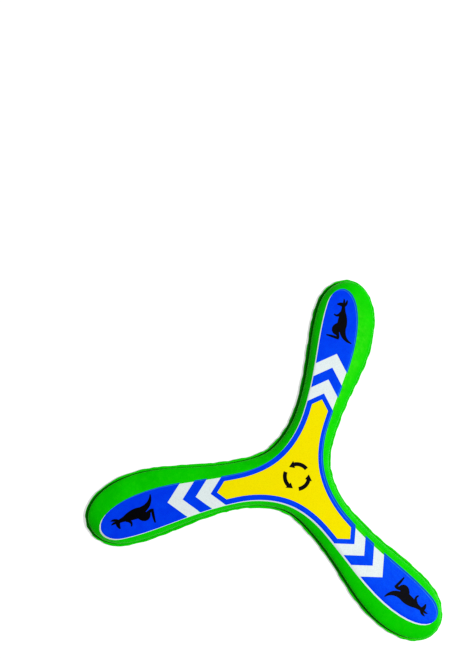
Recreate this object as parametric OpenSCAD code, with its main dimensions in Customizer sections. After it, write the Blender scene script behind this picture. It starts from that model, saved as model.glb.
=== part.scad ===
// Foam boomerang with three blades and a printed top.
// One moulded body lies flat on z = 0, with the hub's centre at the origin and blade 1 along +Y.
// In a blade's own frame +X runs out along the blade and +Y points to its leading edge.

/* [Body outline] */
// Radius from the hub's centre to the crotch between two blades
crotch_r = 26; // [24:0.5:30]
// Distance out to the narrowest place of the trailing edge
trail_waist_x = 38; // [34:1:44]
// Offset of the trailing edge there
trail_waist_y = 18.4; // [17:0.2:21]
// Distance out to the widest place of the trailing edge
trail_belly_x = 97.5; // [88:0.5:104]
// Offset of the trailing edge there
trail_belly_y = 23.8; // [22:0.2:27]
// Distance out to the end of the blade
tip_x = 143; // [141:0.5:152]
// Lean of the blade's end towards the leading edge
tip_y = 2.5; // [0:0.5:6]
// Distance out to the widest place of the leading edge
lead_belly_x = 116.5; // [108:0.5:122]
// Offset of the leading edge there
lead_belly_y = 23.4; // [22.6:0.2:27]
// Distance out to the narrowest place of the leading edge
lead_waist_x = 44; // [38:1:50]
// Offset of the leading edge there
lead_waist_y = 14.8; // [14.6:0.2:18]

/* [Body section] */
// Full thickness of the foam
thickness = 8; // [7:0.2:12]
// Height of the trimmed lip around the foot
lip_h = 1.8; // [1:0.1:2.8]
// Width of the trimmed lip
lip_w = 1.8; // [0.8:0.1:2]
// Height at which the upright wall turns into the bevel
wall_h = 4; // [2.4:0.1:5]
// Inward lean of the wall over its height
wall_lean = 0.3; // [0.1:0.1:0.4]
// Foam left flat around the print
flat_margin = 1.7; // [1.6:0.1:1.9]

/* [Print outline] */
// Radius from the centre to the print's crotch
print_crotch_r = 19.5; // [18:0.5:20]
// Distance out to the narrowest place of the print's trailing side
print_trail_waist_x = 40; // [36:1:44]
// Offset of the print's trailing side there
print_trail_waist_y = 9.8; // [9:0.2:10.4]
// Distance out to the widest place of the print's trailing side
print_trail_belly_x = 84; // [80:1:90]
// Offset of the print's trailing side there
print_trail_belly_y = 11.2; // [10:0.2:12]
// Distance out to the end of the print
print_tip_x = 134; // [130:0.5:134.5]
// Lean of the print's end towards the leading edge
print_tip_y = 8; // [6:0.5:9]
// Distance out to the widest place of the print's leading side
print_lead_belly_x = 121; // [116:0.5:122]
// Offset of the print's leading side there
print_lead_belly_y = 17; // [15:0.2:17.2]
// Distance out to the narrowest place of the print's leading side
print_lead_waist_x = 42.5; // [38:0.5:46]
// Offset of the print's leading side there
print_lead_waist_y = 8.9; // [8:0.1:9.4]

/* [Print] */
// Thickness of one coat of ink
coat_t = 0.1; // [0.05:0.05:0.2]
// Growth of the white base coat past the colours, below 0 where it is smaller than they are
base_margin = -0.1; // [-0.4:0.1:0]
// Sideways miss of the whole print on the foam
print_miss_x = 0.3; // [-0.3:0.1:0.3]
// Lengthways miss of the whole print on the foam
print_miss_y = -0.5; // [-0.5:0.1:0.5]
// Sideways miss of the white base coat under the colours
base_miss_x = -0.7; // [-0.8:0.1:0.3]
// Lengthways miss of the white base coat under the colours
base_miss_y = -1.1; // [-1.2:0.1:0.5]
// Width of the blue border around the middle panel
border_w = 3.5; // [2.5:0.1:4.5]
// Angle between a chevron's arm and the blade's axis
chevron_angle = 46.5; // [40:0.5:60]
// Distance out to the apex of the middle panel
panel_apex = 55.1; // [50:0.1:58]
// Distance out to the apex of the blue border
border_apex = 59.5; // [58.2:0.1:64]
// Distance out to the inner apex of the blue chevron
chevron_in = 69.7; // [66:0.1:73]
// Distance out to the outer apex of the blue chevron
chevron_out = 78.4; // [75:0.1:82]
// Distance out to the inner apex of the blue tip panel
tip_panel_in = 88.6; // [85:0.1:92]

/* [Marks] */
// Distance out to the middle of the animal
animal_x = 112; // [108:0.5:113]
// Offset of the animal towards the leading edge
animal_y = 4; // [3:0.5:5]
// Size of the animal, 1 for about 29 mm from its foot to its ears
animal_scale = 1; // [0.8:0.05:1]
// Outer radius of the spin mark in the middle
spin_r = 9.6; // [6:0.2:12]
// Width of the spin mark's band
spin_band = 2.6; // [1.5:0.1:3]
// Sweep of one arrow's band in degrees
spin_sweep = 66; // [50:1:74]

/* [Hidden] */
BLADES = 3;
FIRST_BLADE = 90;              // direction of blade 1, in degrees from +X
SECTOR = 360 / BLADES;
EDGE_STEPS = 10;               // points on each of a blade's six curves
BEVEL_STEPS = 5;               // rings of points up the bevel
CUT_REACH = 200;               // far end and half-width of the shapes that cut the print at a chevron
CUT_HALF = 25;
STROKE_STEPS = 8;              // pieces of a drawn stroke
ARROW_STEPS = 12;              // pieces of an arrow's band
HEAD_WIDENING = 1.9;           // width of an arrow's head over its band
HEAD_SWEEP = 26;               // degrees that an arrow's head adds to its band
HEAD_OVERLAP = 1;              // degrees by which the head starts inside the band
INK_GREEN = [0.0, 0.72, 0.08];
INK_BLUE = [0.0, 0.2, 0.93];
INK_YELLOW = [0.95, 0.9, 0.0];
INK_WHITE = [0.9, 0.93, 0.92];
INK_BLACK = [0.03, 0.03, 0.04];
// How far a curve runs on straight past its two ends, as a part of the distance between them
CROTCH_PULL = 0.29;
WAIST_IN_PULL = 0.39;
WAIST_OUT_PULL = 0.40;
BELLY_IN_PULL = 0.31;
BELLY_OUT_PULL = 0.63;
TIP_PULL = 0.50;

function unit_at(a) = [cos(a), sin(a)];
function turned(p, a) = [p.x * cos(a) - p.y * sin(a), p.x * sin(a) + p.y * cos(a)];
function mixed(p, q, f) = p * (1 - f) + q * f;
function bezier(p, q, r, s, t) =
    p * pow(1 - t, 3) + 3 * q * t * pow(1 - t, 2) + 3 * r * t * t * (1 - t) + s * pow(t, 3);

// One curve between two places, each [point, heading], with the two lengths of its straight pull
function curve(a, b, pull_a, pull_b) =
    [for (i = [0:EDGE_STEPS - 1])
        bezier(a[0], a[0] + pull_a * unit_at(a[1]), b[0] - pull_b * unit_at(b[1]), b[0],
               i / EDGE_STEPS)];

// A waist curve pulls by the distance between its ends, and a tip curve by its run each way
function waist_curve(a, b, f, g) = curve(a, b, f * norm(b[0] - a[0]), g * norm(b[0] - a[0]));
function trail_tip_curve(a, b) =
    curve(a, b, BELLY_OUT_PULL * (b[0].x - a[0].x), TIP_PULL * (b[0].y - a[0].y));
function lead_tip_curve(a, b) =
    curve(a, b, TIP_PULL * (b[0].y - a[0].y), BELLY_OUT_PULL * (a[0].x - b[0].x));

// A blade's edge from the crotch before it to the crotch after it, in the blade's own frame
function blade_edge(crotch, trail_waist, trail_belly, tip, lead_belly, lead_waist) =
    let (c0 = [crotch * unit_at(-SECTOR / 2), 90 - SECTOR / 2],
         w0 = [trail_waist, 0],
         b0 = [trail_belly, 0],
         t = [tip, 90],
         b1 = [lead_belly, 180],
         w1 = [lead_waist, 180],
         c1 = [crotch * unit_at(SECTOR / 2), 90 + SECTOR / 2])
    concat(waist_curve(c0, w0, CROTCH_PULL, WAIST_IN_PULL),
           waist_curve(w0, b0, WAIST_OUT_PULL, BELLY_IN_PULL),
           trail_tip_curve(b0, t),
           lead_tip_curve(t, b1),
           waist_curve(b1, w1, BELLY_IN_PULL, WAIST_OUT_PULL),
           waist_curve(w1, c1, WAIST_IN_PULL, CROTCH_PULL));

// The edge repeated for every blade, as one closed outline that runs counter-clockwise
function all_round(edge) =
    [for (k = [0:BLADES - 1]) for (p = edge) turned(p, FIRST_BLADE + SECTOR * k)];

// A closed outline moved outwards by d, or inwards where d is negative
function grown(outline, d) =
    let (n = len(outline))
    [for (i = [0:n - 1])
        let (along = outline[(i + 1) % n] - outline[(i + n - 1) % n])
        outline[i] + d * [along.y, -along.x] / norm(along)];

BODY_LINE = all_round(blade_edge(
    crotch_r, [trail_waist_x, -trail_waist_y], [trail_belly_x, -trail_belly_y], [tip_x, tip_y],
    [lead_belly_x, lead_belly_y], [lead_waist_x, lead_waist_y]));
PRINT_LINE = all_round(blade_edge(
    print_crotch_r, [print_trail_waist_x, -print_trail_waist_y],
    [print_trail_belly_x, -print_trail_belly_y], [print_tip_x, print_tip_y],
    [print_lead_belly_x, print_lead_belly_y], [print_lead_waist_x, print_lead_waist_y]));

function level(outline, z) = [for (p = outline) [p.x, p.y, z]];

// The body's rings of points, from its foot up to the flat top
function body_rings() =
    let (wall_top = grown(BODY_LINE, -lip_w - wall_lean),
         flat_line = grown(PRINT_LINE, flat_margin))
    concat([level(BODY_LINE, 0),
            level(BODY_LINE, lip_h),
            level(grown(BODY_LINE, -lip_w), lip_h),
            level(wall_top, wall_h)],
           [for (i = [1:BEVEL_STEPS])
               let (f = i / BEVEL_STEPS)
               level([for (j = [0:len(wall_top) - 1]) mixed(wall_top[j], flat_line[j], f)],
                     wall_h + (thickness - wall_h) * sin(90 * f))]);

// Triangles that fill a flat ring of n points: strips across each blade, from its trailing edge
// to its leading edge, and one triangle between the three crotches
function fill_of(n) =
    let (per = n / BLADES, half = per / 2)
    concat([for (k = [0:BLADES - 1]) for (i = [0:half - 1])
               let (a = k * per + i, b = (k + 1) * per - i)
               each concat([[a, a + 1, b % n]], i < half - 1 ? [[a + 1, b - 1, b % n]] : [])],
           [[for (k = [0:BLADES - 1]) k * per]]);

// The solid between the first and the last of a stack of rings, each with the same number of points
module stacked_rings(rings) {
    n = len(rings[0]);
    last = len(rings) - 1;
    sides = [for (r = [0:last - 1]) for (j = [0:n - 1])
        let (a = r * n + j, b = r * n + (j + 1) % n)
        each [[a, a + n, b], [b, a + n, b + n]]];
    top = [for (f = fill_of(n)) [last * n + f[2], last * n + f[1], last * n + f[0]]];
    polyhedron(points = [for (ring = rings) each ring], faces = concat(fill_of(n), sides, top));
}

// Places a shape that is drawn in a blade's own frame on blade k of the print
module on_blade(k) {
    translate([print_miss_x, print_miss_y]) rotate(FIRST_BLADE + SECTOR * (k - 1)) children();
}

// Everything that lies further out than a chevron with its apex at distance a
module ahead_of(a) {
    back = CUT_HALF / tan(chevron_angle);
    polygon([[a, 0], [a - back, CUT_HALF], [CUT_REACH, CUT_HALF],
             [CUT_REACH, -CUT_HALF], [a - back, -CUT_HALF]]);
}

module print_shape() {
    translate([print_miss_x, print_miss_y]) polygon(PRINT_LINE);
}

module white_shape() {
    translate([print_miss_x + base_miss_x, print_miss_y + base_miss_y])
        polygon(grown(PRINT_LINE, base_margin));
}

module panel_shape() {
    difference() {
        translate([print_miss_x, print_miss_y]) polygon(grown(PRINT_LINE, -border_w));
        for (k = [1:BLADES]) on_blade(k) ahead_of(panel_apex);
    }
}

// A coat over the white base: it lies on the white where there is some, and on the foam elsewhere
module coat_over_white() {
    difference() {
        translate([0, 0, thickness]) linear_extrude(2 * coat_t) children();
        white_base_coat();
    }
}

// A coat of black ink over the colours
module black_coat() {
    translate([0, 0, thickness + 2 * coat_t]) linear_extrude(coat_t) children();
}

// A tapered stroke from p to r that bends towards q, with its half-widths at p, q and r
module stroke(p, q, r, wide_p, wide_q, wide_r) {
    n = STROKE_STEPS;
    line = [for (i = [0:n]) let (t = i / n)
        p * pow(1 - t, 2) + 2 * q * t * (1 - t) + r * t * t];
    wide = [for (i = [0:n]) let (t = i / n)
        wide_p * pow(1 - t, 2) + 2 * wide_q * t * (1 - t) + wide_r * t * t];
    side = [for (i = [0:n])
        let (along = line[min(i + 1, n)] - line[max(i - 1, 0)])
        wide[i] * [-along.y, along.x] / norm(along)];
    polygon(concat([for (i = [0:n]) line[i] + side[i]],
                   [for (i = [n:-1:0]) line[i] - side[i]]));
}

// An upright kangaroo at rest, with its ears towards the blade's tip and its face to the leading edge
module animal_shape() {
    stroke([-4.8, -2], [-12.6, -4.2], [-13.2, -11.4], 2.5, 1.6, 0.3);    // tail
    stroke([-8.4, -1.1], [-3, -1.9], [5.8, 1], 2.3, 4.8, 1.9);           // trunk
    stroke([4.4, 0.7], [8, 1.2], [10.4, 2.2], 2.1, 1.2, 1.1);            // neck
    stroke([9.8, 1], [11.6, 3.2], [9.7, 6.6], 1.2, 1.9, 0.4);            // head
    stroke([10.2, 1.3], [12.8, 0.1], [15.1, 0.8], 0.7, 1.2, 0.1);        // far ear
    stroke([10.8, 2.3], [13.2, 2.1], [15.1, 3.3], 0.6, 1.1, 0.1);        // near ear
    stroke([5, 1.8], [0.8, 3.6], [2.4, 6.6], 1.2, 0.8, 0.4);             // arm
    stroke([-4.4, -1], [-8, 4.6], [-9.8, -0.2], 3.4, 3.4, 1.6);          // thigh
    stroke([-9, 0.9], [-11.2, -1.3], [-12.9, -1.2], 1.4, 1, 0.9);        // shank
    stroke([-12.9, -1.9], [-12.6, 2.6], [-13.3, 7.2], 0.8, 1.1, 0.4);    // foot
}

// One of three arrows that chase each other counter-clockwise, the way the boomerang spins
module spin_arrow() {
    mid = spin_r - spin_band / 2;
    head_half = spin_band * HEAD_WIDENING / 2;
    end = spin_sweep / 2;
    arc_at = function (i) end * (2 * i / ARROW_STEPS - 1);
    polygon(concat([for (i = [0:ARROW_STEPS]) spin_r * unit_at(arc_at(i))],
                   [for (i = [ARROW_STEPS:-1:0]) (spin_r - spin_band) * unit_at(arc_at(i))]));
    polygon([(mid + head_half) * unit_at(end - HEAD_OVERLAP),
             mid * unit_at(end + HEAD_SWEEP),
             (mid - head_half) * unit_at(end - HEAD_OVERLAP)]);
}

module foam_body() {
    color(INK_GREEN) stacked_rings(body_rings());
}

module white_base_coat() {
    color(INK_WHITE) translate([0, 0, thickness]) linear_extrude(coat_t) white_shape();
}

module middle_panel() {
    color(INK_YELLOW) coat_over_white() panel_shape();
}

module panel_border() {
    color(INK_BLUE) coat_over_white() difference() {
        print_shape();
        for (k = [1:BLADES]) on_blade(k) ahead_of(border_apex);
        panel_shape();
    }
}

module chevron(k) {
    color(INK_BLUE) coat_over_white() difference() {
        intersection() {
            print_shape();
            on_blade(k) ahead_of(chevron_in);
        }
        on_blade(k) ahead_of(chevron_out);
    }
}

module tip_panel(k) {
    color(INK_BLUE) coat_over_white() intersection() {
        print_shape();
        on_blade(k) ahead_of(tip_panel_in);
    }
}

module animal_mark(k) {
    color(INK_BLACK) black_coat() on_blade(k)
        translate([animal_x, animal_y]) scale(animal_scale) animal_shape();
}

module spin_mark() {
    color(INK_BLACK) black_coat()
        for (k = [1:BLADES]) on_blade(k) spin_arrow();
}

foam_body();
white_base_coat();
middle_panel();
panel_border();
chevron(1);  // chevron_1
chevron(2);  // chevron_2
chevron(3);  // chevron_3
tip_panel(1);  // tip_panel_1
tip_panel(2);  // tip_panel_2
tip_panel(3);  // tip_panel_3
animal_mark(1);  // animal_mark_1
animal_mark(2);  // animal_mark_2
animal_mark(3);  // animal_mark_3
spin_mark();
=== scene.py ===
"""Looks of a soft foam boomerang with three blades and a printed top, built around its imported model."""

import math

import bmesh
import bpy
import numpy as np
from mathutils import Matrix, Vector, noise
from mathutils.bvhtree import BVHTree
from mathutils.geometry import delaunay_2d_cdt
from mathutils.interpolate import poly_3d_calc
from mathutils.kdtree import KDTree


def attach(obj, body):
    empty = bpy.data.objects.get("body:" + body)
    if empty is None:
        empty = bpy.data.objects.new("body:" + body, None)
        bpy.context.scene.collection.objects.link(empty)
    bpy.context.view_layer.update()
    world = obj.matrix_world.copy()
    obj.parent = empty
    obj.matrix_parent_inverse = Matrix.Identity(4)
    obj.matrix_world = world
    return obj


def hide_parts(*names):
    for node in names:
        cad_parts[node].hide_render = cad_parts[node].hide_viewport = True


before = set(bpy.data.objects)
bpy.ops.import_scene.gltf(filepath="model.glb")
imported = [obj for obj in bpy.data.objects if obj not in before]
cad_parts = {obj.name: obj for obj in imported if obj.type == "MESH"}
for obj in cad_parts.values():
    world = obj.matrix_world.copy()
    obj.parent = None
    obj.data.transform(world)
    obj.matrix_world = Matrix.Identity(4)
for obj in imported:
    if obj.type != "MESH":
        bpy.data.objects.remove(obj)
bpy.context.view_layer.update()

MM = 0.001
WELD = 1e-6                        # points nearer than this are one point
BODY = "foam_body"
BASE = "white_base_coat"
PANEL = "middle_panel"
BORDER = "panel_border"
MARKS = ("animal_mark_1", "animal_mark_2", "animal_mark_3", "spin_mark")
BLUES = (BORDER, "chevron_1", "chevron_2", "chevron_3", "tip_panel_1", "tip_panel_2", "tip_panel_3")
FIRST_CROTCH = math.radians(30)    # direction of the crotch where each outline starts
CROTCH_REACH = 1.02                # a crotch's points lie within this many times the least radius
ROW = math.sin(math.radians(60))   # distance between the rows of a net of even triangles
CLEAR = 0.55                       # least distance from the net's points to an edge, in spacings

# The body's section, beyond what the frame gives
AROUND = 4                         # points on the outline for each point in the CAD outline
LIP_TRIM = 0.35 * MM               # most that the hand-cut lip strays inwards
JOG_SIZE = 6 * MM                  # spacing of the cutter's jogs along the lip
JOG_SHARPNESS = 9
DRIFT_SIZE = 25 * MM               # spacing of its slow drift
NICK_SIZE = 1.6 * MM               # spacing of its small nicks
WALL_LEAN = 0.1 * MM               # inward lean of the wall
CROWN_IN = 1.6 * MM                # how far inside the CAD model's flat top the bevel starts
CROWN_SOFT = 0.14 * MM             # softness of the crown between the top and the bevel
BEVEL_BULGE = 0.25 * MM            # how far the bevel swells at its middle
ROLL = 0.4 * MM                    # width over which the wall rolls over into the bevel
ROLL_RISE = 0.7 * MM               # height that the bevel gains in that roll
WAVE = 0.07 * MM                   # unevenness of the pressed foam
WAVE_SIZE = 16 * MM
FILL = 4 * MM                      # spacing of the points inside the underside and the top

# Rings of points up the section, with lengths in mm. The last columns give the shade painted on a ring:
# in the groove, up the wall and on the lip's outer face, where shade falls.
# Foot: in from the lip's edge and up from the underside
FOOT_RINGS = ((0.30, 0.0), (0.10, 0.07), (0.0, 0.28))
# Lip: in from its edge, down from its top, shade painted on its outer face
LIP_RINGS = ((0.0, 0.30, 1.0), (0.06, 0.08, 0.4), (0.20, 0.0, 0.0))
# Groove: in from the wall's foot, up from the lip's top, painted shade
GROOVE_RINGS = ((-0.30, 0.0, 0.0), (-0.12, -0.15, 0.2), (0.0, -0.30, 0.5), (0.05, 0.10, 0.8))
# Wall: part of its height, painted shade
WALL_RINGS = ((0.2, 0.6), (0.55, 0.45), (0.9, 0.3))
# Foot of the bevel: in from the wall, painted shade
BEVEL_FOOT_RINGS = ((0.0, 0.2), (0.15, 0.1), (0.35, 0.0), (0.6, 0.0), (1.0, 0.0))
# Bevel: parts of the way between its start and its stop, which are that far in from its two ends
BEVEL_PARTS = (0.2, 0.4, 0.6, 0.8, 1.0)
BEVEL_START = 1.0 * MM
BEVEL_STOP = 2.4 * MM
# Crown: distances before it and past it
BEFORE_CROWN = (1.8, 1.3, 0.9, 0.55, 0.25, 0.0)
AFTER_CROWN = (0.25, 0.55, 0.9, 1.4, 2.0, 3.0, 4.2)

# The print's coats
GRID = 0.8 * MM                    # spacing of the points inside a coat, so that it bends over the crown
STEP = 0.15 * MM                   # half-width of the slope where a coat steps down off the white base
COAT = 0.07 * MM                   # thickness of one coat
SINK = 0.02 * MM                   # how deep a coat's underside lies in what is below it
DENSE = 12                         # points for each outline point, where distances to it are measured
MATT_ON_FOAM = 0.3                 # roughness that ink gains where it lies on bare foam

# The camera, from the hub's centre
CAMERA_AT = Vector((-0.1313, -0.0451, 0.6595))
CAMERA_TO = Vector((-0.0692, 0.0817, 0.0))
CAMERA_TURN = math.radians(19.04)  # how far blade 1 leans to the right in the view
LENS = 73.9                        # mm, on a sensor 36 mm wide

# The light and the floor
WORLD = 0.2                        # brightness of the even light from all round
KEY_FROM = (18, 34)                # azimuth and angle from straight up, in degrees
KEY_AWAY = 1.8                     # metres from the hub
KEY_SIZE = 0.3                     # metres across
KEY_POWER = 28.0                   # watts
FLOOR_HALF = 12.0                  # half of the floor's side
FLOOR_DROP = 0.05 * MM
FLOOR_GLOW = 0.5


# ---------------------------------------------------------------- reading the frame

def merged(node):
    """A CAD node's mesh with its faces joined up."""
    bm = bmesh.new()
    bm.from_mesh(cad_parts[node].data)
    bmesh.ops.remove_doubles(bm, verts=bm.verts, dist=WELD)
    bm.normal_update()
    return bm


def heights(node):
    """The different heights of a node's points, from the lowest up."""
    bm = merged(node)
    found = sorted(v.co.z for v in bm.verts)
    bm.free()
    return [z for i, z in enumerate(found) if i == 0 or z - found[i - 1] > WELD]


def rim(node, z, up=1):
    """The edges of a node's level faces at height z, as pairs of points (x, y)."""
    bm = merged(node)
    pairs = []
    for edge in bm.edges:
        level = [f for f in edge.link_faces
                 if f.normal.z * up > 0.99 and all(abs(v.co.z - z) < WELD for v in f.verts)]
        if len(level) == 1:
            pairs.append(tuple((v.co.x, v.co.y) for v in edge.verts))
    bm.free()
    return pairs


def loops(pairs):
    """Pairs of points chained into closed loops, counter-clockwise, the one around the most first."""
    def key(p):
        return round(p[0] / WELD), round(p[1] / WELD)

    links = {}
    for a, b in pairs:
        links.setdefault(key(a), []).append(b)
        links.setdefault(key(b), []).append(a)
    done, found = set(), []
    for a, _ in pairs:
        if key(a) in done:
            continue
        chain = [a]
        done.add(key(a))
        while True:
            onward = [p for p in links[key(chain[-1])] if key(p) not in done]
            if not onward:
                break
            chain.append(onward[0])
            done.add(key(onward[0]))
        found.append(np.array(chain))
    found = [c if turning(c) > 0 else c[::-1] for c in found]
    return sorted(found, key=turning, reverse=True)


def turning(loop):
    """The area inside a closed loop, below zero where it runs clockwise."""
    x, y = loop[:, 0], loop[:, 1]
    return 0.5 * float(np.dot(x, np.roll(y, -1)) - np.dot(y, np.roll(x, -1)))


def from_crotch(loop):
    """The loop started at its point in the first crotch, which is the nearest one to the hub."""
    radius = np.hypot(loop[:, 0], loop[:, 1])
    away = np.abs(np.arctan2(loop[:, 1], loop[:, 0]) - FIRST_CROTCH)
    start = int(np.argmin(np.where(radius > radius.min() * CROTCH_REACH, np.inf, away)))
    return np.roll(loop, -start, axis=0)


def smooth_loop(loop, steps):
    """A smooth closed curve through the loop's points, with steps points for each of them."""
    after = np.roll(loop, -1, axis=0)
    span = np.linalg.norm(after - loop, axis=1)[:, None]
    slope = (after - loop) / span
    span_before, slope_before = np.roll(span, 1, axis=0), np.roll(slope, 1, axis=0)
    tangent = (slope_before * span + slope * span_before) / (span + span_before)
    tangent_after = np.roll(tangent, -1, axis=0)
    t = (np.arange(steps) / steps)[:, None, None]
    curve = ((2 * t**3 - 3 * t**2 + 1) * loop + (t**3 - 2 * t**2 + t) * span * tangent
             + (3 * t**2 - 2 * t**3) * after + (t**3 - t**2) * span * tangent_after)
    return curve.transpose(1, 0, 2).reshape(-1, 2)


def inwards(loop):
    """Unit vectors across a closed loop, towards its inside."""
    along = np.roll(loop, -1, axis=0) - np.roll(loop, 1, axis=0)
    across = np.stack([-along[:, 1], along[:, 0]], axis=1)
    return across / np.linalg.norm(across, axis=1)[:, None]


# ---------------------------------------------------------------- meshes

def uneven(x, y, size, seed):
    """Smooth noise from about -1 to 1 over the plane."""
    return noise.noise(Vector((x / size, y / size, seed)))


def mesh_piece(name, points, faces, material):
    mesh = bpy.data.meshes.new(name)
    mesh.from_pydata([tuple(p) for p in points], [], faces)
    mesh.materials.append(material)
    mesh.update()
    piece = bpy.data.objects.new(name, mesh)
    bpy.context.scene.collection.objects.link(piece)
    return piece


def flat_fill(corners, edges, spacing):
    """Triangles over the plane between given points and edges, with a grid of points between them."""
    near = KDTree(len(corners))
    for i, (x, y) in enumerate(corners):
        near.insert((x, y, 0), i)
    near.balance()
    low, high = np.min(corners, axis=0), np.max(corners, axis=0)
    grid = []
    for row in range(1, int((high[1] - low[1]) / (spacing * ROW))):
        y = low[1] + row * spacing * ROW
        for column in range(1, int((high[0] - low[0]) / spacing)):
            x = low[0] + (column + 0.5 * (row % 2)) * spacing
            if near.find((x, y, 0))[2] > CLEAR * spacing:
                grid.append((x, y))
    coords = [Vector(p) for p in corners] + [Vector(p) for p in grid]
    points, _, faces, *_ = delaunay_2d_cdt(coords, edges, [], 0, WELD)
    return points, [tuple(f) for f in faces]


def closed_edges(loop, first=0):
    n = len(loop)
    return [(first + i, first + (i + 1) % n) for i in range(n)]


def soft_lower(a, b, soft):
    """The lower of two heights, with a soft change from one to the other."""
    return a - soft * np.log1p(np.exp((a - b) / soft))


def body_rings():
    """The foam's rings of points from the underside up to the flat top, each with the shade painted on it
    in the groove and up the wall, and the shade painted on the lip's outer face.
    """
    foot_z, lip_z, wall_z = heights(BODY)[:3]
    top_z = heights(BODY)[-1]
    foot = smooth_loop(from_crotch(loops(rim(BODY, foot_z, -1))[0]), AROUND)
    root = smooth_loop(from_crotch(loops(rim(BODY, lip_z))[1]), AROUND)
    flat = smooth_loop(from_crotch(loops(rim(BODY, top_z))[0]), AROUND)
    in_foot, in_root, in_flat = inwards(foot), inwards(root), inwards(flat)

    def strayed(x, y):
        jogs = math.tanh(JOG_SHARPNESS * uneven(x, y, JOG_SIZE, 3.0))
        drift, nicks = uneven(x, y, DRIFT_SIZE, 9.0), uneven(x, y, NICK_SIZE, 5.0)
        return LIP_TRIM * (0.4 + 0.6 * jogs + 0.6 * drift + 0.2 * nicks)

    trim = np.array([strayed(x, y) for x, y in foot])[:, None]
    edge = foot + in_foot * trim
    rings = []

    def ring(points, z, painted_shade=0.0, cut=0.0):
        z = np.broadcast_to(np.asarray(z, float), (len(points),))
        rings.append((np.column_stack([points, z]), painted_shade, cut))

    # The foot and the lip's outer face get full painted shade.
    for inset, up in FOOT_RINGS:
        ring(edge + in_foot * inset * MM, foot_z + up * MM, cut=1.0)
    ring(edge, 0.5 * (foot_z + lip_z), cut=1.0)
    for inset, down, cut in LIP_RINGS:
        ring(edge + in_foot * inset * MM, lip_z - down * MM, cut=cut)
    for inset, up, painted_shade in GROOVE_RINGS:
        ring(root + in_root * inset * MM, lip_z + up * MM, painted_shade)
    for part, painted_shade in WALL_RINGS:
        ring(root + in_root * WALL_LEAN * part, lip_z + (wall_z - lip_z) * part, painted_shade)

    wall = root + in_root * WALL_LEAN
    crown = flat + in_flat * CROWN_IN
    width = np.linalg.norm(crown - wall, axis=1)
    steep = (top_z - wall_z - ROLL_RISE) / width

    def bevel_z(out):
        rise = wall_z + steep * out
        part = np.clip(out / width, 0, 1)
        rise = rise + BEVEL_BULGE * 4 * part * (1 - part) + ROLL_RISE * (1 - np.exp(-out / ROLL))
        return soft_lower(rise, np.full_like(rise, top_z), CROWN_SOFT)

    def bevel_ring(out, painted_shade=0.0):
        ring(wall + (crown - wall) * (out / width)[:, None], bevel_z(out), painted_shade)

    for out, painted_shade in BEVEL_FOOT_RINGS:
        bevel_ring(np.full_like(width, out * MM), painted_shade)
    for part in BEVEL_PARTS:
        bevel_ring(BEVEL_START + (width - BEVEL_STOP - BEVEL_START) * part)
    for before in BEFORE_CROWN:
        bevel_ring(width - before * MM)
    for after in AFTER_CROWN:
        ring(crown + in_flat * after * MM, bevel_z(width + after * MM))
    return rings


def build_body(material):
    """The moulded foam: rings from the underside over the lip, wall and bevel, closed at both ends."""
    rings = body_rings()
    n = len(rings[0][0])
    points = np.concatenate([r[0] for r in rings])
    top_z = points[:, 2].max()
    faces = [(r * n + i, r * n + (i + 1) % n, (r + 1) * n + (i + 1) % n, (r + 1) * n + i)
             for r in range(len(rings) - 1) for i in range(n)]
    painted_shade = np.repeat([r[1] for r in rings], n)
    cut = np.repeat([r[2] for r in rings], n)
    points, painted_shade, cut = list(map(tuple, points)), list(painted_shade), list(cut)

    for first, z, flip in ((0, rings[0][0][0][2], True), ((len(rings) - 1) * n, None, False)):
        loop = [points[first + i][:2] for i in range(n)]
        filled, triangles = flat_fill(loop, closed_edges(loop), FILL)
        own = {}
        for i, (x, y) in enumerate(filled):
            if i < n:
                own[i] = first + i
                continue
            own[i] = len(points)
            points.append((x, y, z if z is not None else top_z))
            painted_shade.append(0.0)
            cut.append(0.0)
        outline = BVHTree.FromPolygons([(x, y, 0) for x, y in loop], [tuple(range(n))])
        for t in triangles:
            middle = sum((filled[i] for i in t), Vector((0, 0))) / 3
            if outline.ray_cast(Vector((middle.x, middle.y, 1)), Vector((0, 0, -1)))[0] is None:
                continue
            corner = [own[i] for i in t]
            faces.append(tuple(reversed(corner)) if flip else tuple(corner))

    lip_z = heights(BODY)[1]
    waved = []
    for x, y, z in points:
        rise = max(0.0, (z - lip_z) / (top_z - lip_z))
        waved.append((x, y, z + WAVE * rise * (uneven(x, y, WAVE_SIZE, 1.7) - 0.5)))
    piece = mesh_piece("foam_moulding", waved, faces, material)
    # Painted shade for the foam's material: in the groove and up the wall, and on the lip's outer face.
    for name, values in (("painted_shade", painted_shade), ("cut", cut)):
        layer = piece.data.attributes.new(name, "FLOAT", "POINT")
        layer.data.foreach_set("value", np.array(values, np.float32))
    piece.data.shade_smooth()
    return piece


class Surface:
    """The foam's upper surface: how high it lies and which way it faces at any place."""

    def __init__(self, piece):
        bm = bmesh.new()
        bm.from_mesh(piece.data)
        bmesh.ops.triangulate(bm, faces=bm.faces)
        bm.normal_update()
        bm.faces.ensure_lookup_table()
        self.tree = BVHTree.FromBMesh(bm)
        self.corners = [[v.co.copy() for v in f.verts] for f in bm.faces]
        self.normals = [[v.normal.copy() for v in f.verts] for f in bm.faces]
        bm.free()

    def at(self, x, y):
        hit, _, face, _ = self.tree.ray_cast(Vector((x, y, 1)), Vector((0, 0, -1)))
        shares = poly_3d_calc(self.corners[face], hit)
        return hit.z, sum((n * w for n, w in zip(self.normals[face], shares)), Vector()).normalized()


def cover_of(node):
    """Tells whether a CAD node lies over a place in the plane."""
    bm = merged(node)
    tree = BVHTree.FromBMesh(bm)
    bm.free()
    return lambda x, y: tree.ray_cast(Vector((x, y, 1)), Vector((0, 0, -1)))[0] is not None


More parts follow.
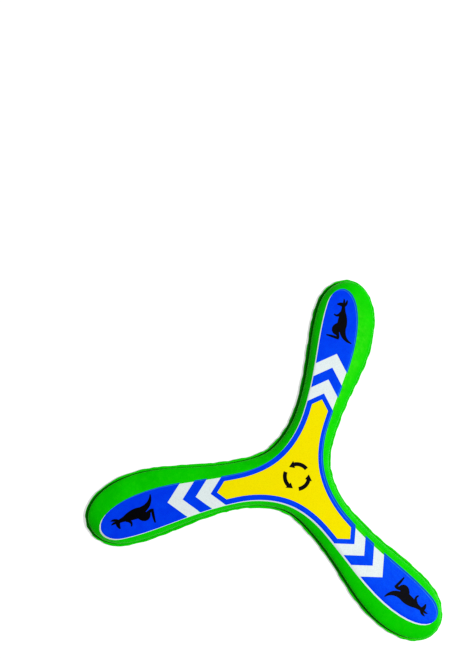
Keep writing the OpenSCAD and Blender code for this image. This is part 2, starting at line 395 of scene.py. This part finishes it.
class WhiteBase:
    """How far a place lies inside the outline of the white base coat, in metres, below 0 outside."""

    def __init__(self):
        self.outline = loops(rim(BASE, heights(BASE)[-1]))[0]
        dense = smooth_loop(self.outline, DENSE)
        self.near = KDTree(len(dense))
        for i, (x, y) in enumerate(dense):
            self.near.insert((x, y, 0), i)
        self.near.balance()
        self.covers = cover_of(BASE)

    def depth(self, x, y):
        away = self.near.find((x, y, 0))[2]
        return away if self.covers(x, y) else -away


def print_net(white):
    """One net of triangles over the whole print, with every colour's edge in it."""
    outlines = [white.outline + inwards(white.outline) * side * STEP for side in (-1, 1)]
    for node in (BASE, PANEL) + BLUES + MARKS:
        outlines += loops(rim(node, heights(node)[-1]))
    corners, edges = [], []
    for loop in outlines:
        edges += closed_edges(loop, len(corners))
        corners += [tuple(p) for p in loop]
    return flat_fill(corners, edges, GRID)


def coat(name, net, triangles, surface, level, material, white):
    """A closed thin coat of ink over the given triangles of the net, bent over the foam's surface.

    Level 1 is the white base. Coats above it lie one coat lower where there is no white under them.
    """
    points, _ = net
    used = sorted({i for t in triangles for i in t})
    place = {i: j for j, i in enumerate(used)}
    high, facing, over, painted_ridge_highlight = [], [], [], []
    for i in used:
        x, y = points[i]
        z, normal = surface.at(x, y)
        depth = white.depth(x, y)
        share = min(1.0, max(0.0, 0.5 + 0.5 * depth / STEP))
        high.append(Vector((x, y, z + (level - 1 + share if level > 1 else 1) * COAT)))
        facing.append(normal)
        over.append(share)
        # Nearness to the white base's edge, where a painted highlight goes.
        painted_ridge_highlight.append(max(0.0, 1 - abs(depth) / STEP))
    n = len(used)
    low = [p - Vector((0, 0, COAT + SINK)) for p in high]
    top = [tuple(place[i] for i in t) for t in triangles]
    sides = {edge for a, b, c in top for edge in ((a, b), (b, c), (c, a))}
    open_edges = [(a, b) for a, b in sides if (b, a) not in sides]
    faces = (top + [(a + n, c + n, b + n) for a, b, c in top]
             + [(a, a + n, b + n, b) for a, b in open_edges])
    piece = mesh_piece(name, high + low, faces, material)
    for label, values in (("over_white", over), ("painted_ridge_highlight", painted_ridge_highlight)):
        layer = piece.data.attributes.new(label, "FLOAT", "POINT")
        layer.data.foreach_set("value", np.array(values * 2, np.float32))
    if level > 1:
        facing = stepped(facing, high, over, top)
    piece.data.shade_smooth()
    piece.data.normals_split_custom_set_from_vertices(facing + [-f for f in facing])
    return piece


def stepped(facing, high, over, top):
    """The foam's normals, but the coat's own ones along the slope off the white base."""
    own = [Vector() for _ in high]
    for a, b, c in top:
        across = (high[b] - high[a]).cross(high[c] - high[a])
        for i in (a, b, c):
            own[i] += across
    return [o.normalized() if 0 < share < 1 else f for f, o, share in zip(facing, own, over)]


# ---------------------------------------------------------------- materials

class Nodes:
    """A new material's node tree, with short calls for the nodes used here."""

    def __init__(self, name, roughness, specular, tint=(1, 1, 1)):
        self.material = bpy.data.materials.new(name)
        self.material.use_nodes = True
        self.tree = self.material.node_tree
        self.shader = self.tree.nodes["Principled BSDF"]
        self.shader.inputs["Roughness"].default_value = roughness
        self.shader.inputs["Specular IOR Level"].default_value = specular
        self.shader.inputs["Specular Tint"].default_value = (*tint, 1)
        self.place = self.tree.nodes.new("ShaderNodeTexCoord").outputs["Object"]

    def link(self, output, name):
        self.tree.links.new(output, self.shader.inputs[name])

    def noise(self, per_metre, detail=3.0, rough=0.55, offset=(0, 0, 0)):
        mapping = self.tree.nodes.new("ShaderNodeMapping")
        mapping.inputs["Location"].default_value = offset
        node = self.tree.nodes.new("ShaderNodeTexNoise")
        node.inputs["Scale"].default_value = per_metre
        node.inputs["Detail"].default_value = detail
        node.inputs["Roughness"].default_value = rough
        self.tree.links.new(self.place, mapping.inputs["Vector"])
        self.tree.links.new(mapping.outputs["Vector"], node.inputs["Vector"])
        return node.outputs["Fac"]

    def cells(self, per_metre):
        node = self.tree.nodes.new("ShaderNodeTexVoronoi")
        node.inputs["Scale"].default_value = per_metre
        self.tree.links.new(self.place, node.inputs["Vector"])
        return node.outputs["Distance"]

    def attribute(self, name):
        node = self.tree.nodes.new("ShaderNodeAttribute")
        node.attribute_name = name
        return node.outputs["Fac"]

    def spread(self, value, low, high, to_low=0.0, to_high=1.0):
        node = self.tree.nodes.new("ShaderNodeMapRange")
        self.tree.links.new(value, node.inputs["Value"])
        ends = {"From Min": low, "From Max": high, "To Min": to_low, "To Max": to_high}
        for name, number in ends.items():
            node.inputs[name].default_value = number
        return node.outputs["Result"]

    def sum(self, a, b, kind="ADD"):
        node = self.tree.nodes.new("ShaderNodeMath")
        node.operation = kind
        for socket, value in zip(node.inputs, (a, b)):
            if isinstance(value, (int, float)):
                socket.default_value = value
            else:
                self.tree.links.new(value, socket)
        return node.outputs[0]

    def mix(self, factor, a, b):
        node = self.tree.nodes.new("ShaderNodeMix")
        node.data_type = "RGBA"
        self.tree.links.new(factor, node.inputs["Factor"])
        for name, colour in (("A", a), ("B", b)):
            socket = [s for s in node.inputs if s.name == name and s.type == "RGBA"][0]
            if isinstance(colour, tuple):
                socket.default_value = (*colour, 1)
            else:
                self.tree.links.new(colour, socket)
        return [s for s in node.outputs if s.type == "RGBA"][0]

    def bump(self, *layers):
        """Bump from (height, distance in metres) pairs, one on top of the other."""
        last = None
        for height, distance in layers:
            node = self.tree.nodes.new("ShaderNodeBump")
            node.inputs["Distance"].default_value = distance
            self.tree.links.new(height, node.inputs["Height"])
            if last is not None:
                self.tree.links.new(last, node.inputs["Normal"])
            last = node.outputs["Normal"]
        self.link(last, "Normal")


def foam_material():
    """Green closed-cell foam: a pressed satin skin with fine cells, with painted shade on the lip's outer
    face, in the groove and up the wall, and lighter blotches of painted sheen.
    """
    m = Nodes("green_foam", 0.45, 0.2, (0.5, 1.0, 0.1))
    broad = m.spread(m.noise(60, 4), 0.35, 0.65)
    colour = m.mix(broad, (0.0, 0.54, 0.0), (0.002, 0.61, 0.0))
    # Lighter yellow-green blotches at random: painted sheen, standing in for the yellowish tint of the
    # foam's highlights.
    painted_sheen = m.spread(m.noise(350, 5, 0.65, (3, 1, 0)), 0.50, 0.72, 0.0, 0.3)
    colour = m.mix(painted_sheen, colour, (0.025, 0.68, 0.004))
    # Painted shade: the lip's outer face, the groove and the wall are darkened where shade falls.
    colour = m.mix(m.sum(m.attribute("cut"), 0.8, "MULTIPLY"), colour, (0.0, 0.12, 0.0))
    colour = m.mix(m.sum(m.attribute("painted_shade"), 0.97, "MULTIPLY"), colour, (0.0, 0.01, 0.0))
    m.link(colour, "Base Color")
    m.link(m.spread(m.noise(250, 5, 0.65, (0, 5, 0)), 0.35, 0.65, 0.32, 0.58), "Roughness")
    m.bump((m.noise(2600, 3), 0.06 * MM), (m.cells(1500), 0.04 * MM), (m.noise(180, 4), 0.22 * MM))
    return m.material


def ink(name, base, other, strength, roughness, specular, tint, bare=None, painted_ridge_highlight=None, specks=None):
    """Satin ink over pressed foam: two close shades in blotches, a fine grain and, if any, specks."""
    m = Nodes(name, roughness, specular, tint)
    colour = m.mix(m.spread(m.noise(140, 5, 0.6), 0.35, 0.65, 0.0, strength), base, other)
    grain = m.spread(m.noise(1900, 3, 0.7, (0, 0, 4)), 0.45, 0.75, 0.0, strength)
    colour = m.mix(grain, colour, tuple(0.72 * c for c in base))
    if bare:
        on_foam = m.sum(1.0, m.attribute("over_white"), "SUBTRACT")
        colour = m.mix(m.sum(on_foam, 0.9, "MULTIPLY"), colour, bare)
        # Painted highlight: a lighter line where the coat steps down off the white base.
        colour = m.mix(m.sum(m.attribute("painted_ridge_highlight"), 0.6, "MULTIPLY"), colour, painted_ridge_highlight)
        matt = m.sum(on_foam, MATT_ON_FOAM, "MULTIPLY")
    if specks:
        dots = m.spread(m.cells(230), 0.05, 0.035)
        sparse = m.spread(m.noise(90, 2, 0.5, (7, 2, 1)), 0.55, 0.62)
        colour = m.mix(m.sum(m.sum(dots, sparse, "MULTIPLY"), 0.7, "MULTIPLY"), colour, specks)
    m.link(colour, "Base Color")
    rough = m.spread(m.noise(500, 4, 0.6, (2, 0, 0)), 0.3, 0.7, roughness - 0.04, roughness + 0.04)
    m.link(m.sum(rough, matt) if bare else rough, "Roughness")
    m.bump((m.noise(2400, 3), 0.03 * MM), (m.cells(1500), 0.015 * MM), (m.noise(180, 4), 0.08 * MM))
    return m.material


def plain_material(name, colour, roughness, glow):
    """An even surface lit from below as on a light table, so that shadows on it stay pale."""
    m = Nodes(name, roughness, 0.2)
    m.shader.inputs["Emission Color"].default_value = (1, 1, 1, 1)
    m.shader.inputs["Emission Strength"].default_value = glow
    shade = m.spread(m.noise(3, 3), 0.3, 0.7)
    m.link(m.mix(shade, colour, tuple(0.985 * c for c in colour)), "Base Color")
    return m.material


# ---------------------------------------------------------------- pieces

def ride_and_replace(piece, node):
    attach(piece, "root")
    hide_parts(node)


def build_print(surface):
    """The white base coat, then the blue and yellow over it, then the black marks."""
    white = ink("white_base_ink", (0.74, 0.82, 0.82), (0.70, 0.78, 0.78), 0.75, 0.34, 0.15, (1, 1, 1),
                specks=(0.30, 0.31, 0.30))
    # The blue gets a painted highlight along the white base's edge.
    blue = ink("blue_ink", (0.0, 0.045, 0.80), (0.0, 0.075, 0.90), 0.6, 0.31, 0.22, (0.06, 0.7, 1.0),
               bare=(0.006, 0.11, 0.50), painted_ridge_highlight=(0.15, 0.45, 0.90))
    yellow = ink("yellow_ink", (0.84, 0.74, 0.0), (0.88, 0.71, 0.0), 0.5, 0.30, 0.10, (1.0, 0.95, 0.05),
                 specks=(0.30, 0.22, 0.02))
    black = ink("black_ink", (0.001, 0.001, 0.002), (0.003, 0.002, 0.004), 0.6, 0.45, 0.05,
                (0.8, 0.8, 1.0))
    base = WhiteBase()
    net = print_net(base)
    points, triangles = net
    middles = [sum((points[i] for i in t), Vector((0, 0))) / 3 for t in triangles]
    plan = ([(BASE, 1, white, "white_ink")] + [(n, 2, blue, "blue_ink") for n in BLUES]
            + [(PANEL, 2, yellow, "yellow_ink")] + [(n, 3, black, "black_ink") for n in MARKS])
    for node, level, material, slot in plan:
        covers = cover_of(node)
        own = [t for t, c in zip(triangles, middles) if covers(c.x, c.y)]
        piece = coat(node + "_ink", net, own, surface, level, material, base)
        ride_and_replace(piece, node)


def aimed(obj, at, to, up=Vector((0, 1, 0))):
    """Puts obj at a place with its -Z towards another and its Y towards up."""
    back = (at - to).normalized()
    right = up.cross(back).normalized()
    turn = Matrix((right, back.cross(right), back)).transposed()
    obj.matrix_world = Matrix.Translation(at) @ turn.to_4x4()


def soft_light(name, at, to, size, power):
    light = bpy.data.lights.new(name, "AREA")
    light.shape = "DISK"
    light.size = size
    light.energy = power
    obj = bpy.data.objects.new(name, light)
    bpy.context.scene.collection.objects.link(obj)
    aimed(obj, at, to)


def toward(azimuth, zenith):
    """Unit vector at an azimuth counter-clockwise from +X and an angle from straight up, in degrees."""
    a, z = math.radians(azimuth), math.radians(zenith)
    return Vector((math.sin(z) * math.cos(a), math.sin(z) * math.sin(a), math.cos(z)))


def build_stage():
    pale = plain_material("pale_floor", (0.5, 0.5, 0.5), 0.8, FLOOR_GLOW)
    corners = [(FLOOR_HALF * x, FLOOR_HALF * y, 0) for x, y in ((-1, -1), (1, -1), (1, 1), (-1, 1))]
    floor = mesh_piece("floor", corners, [(0, 1, 2, 3)], pale)
    floor.location.z = -FLOOR_DROP
    soft_light("key", toward(*KEY_FROM) * KEY_AWAY, Vector((0, 0, 0)), KEY_SIZE, KEY_POWER)
    world = bpy.data.worlds.new("studio")
    world.use_nodes = True
    world.node_tree.nodes["Background"].inputs["Color"].default_value = (1, 1, 1, 1)
    world.node_tree.nodes["Background"].inputs["Strength"].default_value = WORLD
    bpy.context.scene.world = world


def build_camera():
    camera = bpy.data.objects.new("camera", bpy.data.cameras.new("camera"))
    bpy.context.scene.collection.objects.link(camera)
    camera.data.sensor_fit = "HORIZONTAL"
    camera.data.sensor_width = 36
    camera.data.lens = LENS
    camera.data.clip_start = 0.01
    up = Vector((-math.sin(CAMERA_TURN), math.cos(CAMERA_TURN), 0))
    aimed(camera, CAMERA_AT, CAMERA_TO, up)
    bpy.context.scene.camera = camera


bpy.context.scene.view_settings.view_transform = "Standard"
bpy.context.scene.view_settings.look = "Medium High Contrast"
build_camera()
build_stage()
foam = build_body(foam_material())
ride_and_replace(foam, BODY)
build_print(Surface(foam))
